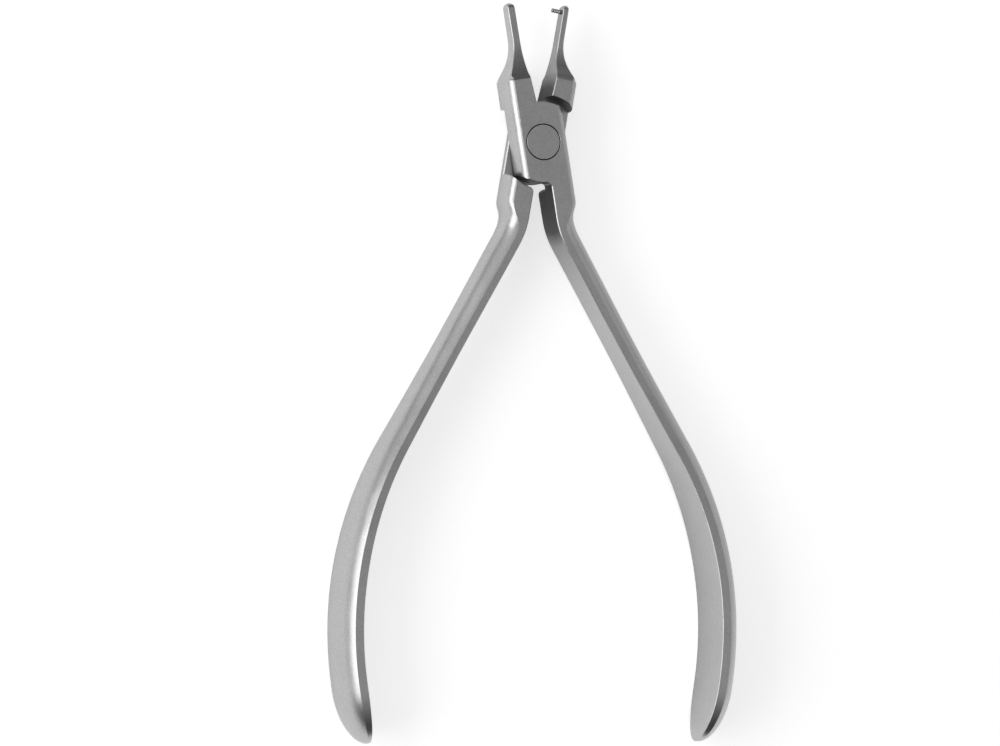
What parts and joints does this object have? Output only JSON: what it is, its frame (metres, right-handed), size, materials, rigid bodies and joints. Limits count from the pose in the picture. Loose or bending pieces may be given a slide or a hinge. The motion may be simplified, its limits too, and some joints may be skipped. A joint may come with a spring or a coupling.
{
  "type": "dental pliers",
  "caption": "Lap-joint dental pliers with slim straight beaks, a small ribbed pin inside one beak tip and long swept handles that flatten into broad grips.",
  "frame": {"origin": "centre of the pivot screw's flush tail on the joint's rear face", "axes": "+Z out of the joint's front face along the pivot, +Y towards the beak tips, +X towards the side of the beak that holds the pin"},
  "size_m": [0.0748, 0.1289, 0.012],
  "materials": {
    "satin_steel": "fine satin stainless steel",
    "hard_steel": "bright ground pin"
  },
  "bodies": {
    "rear_body": {"rear_half": "satin_steel", "pivot_screw": "satin_steel", "tip_pin": "hard_steel"},
    "front_body": {"front_half": "satin_steel"}
  },
  "joints": [
    {"name": "jaw_pivot", "type": "hinge", "parent": "rear_body", "child": "front_body", "pos_m": [0, 0, 0.00375], "axis": [0, 0, 1], "range_deg": [-19.2, 40]}
  ]
}
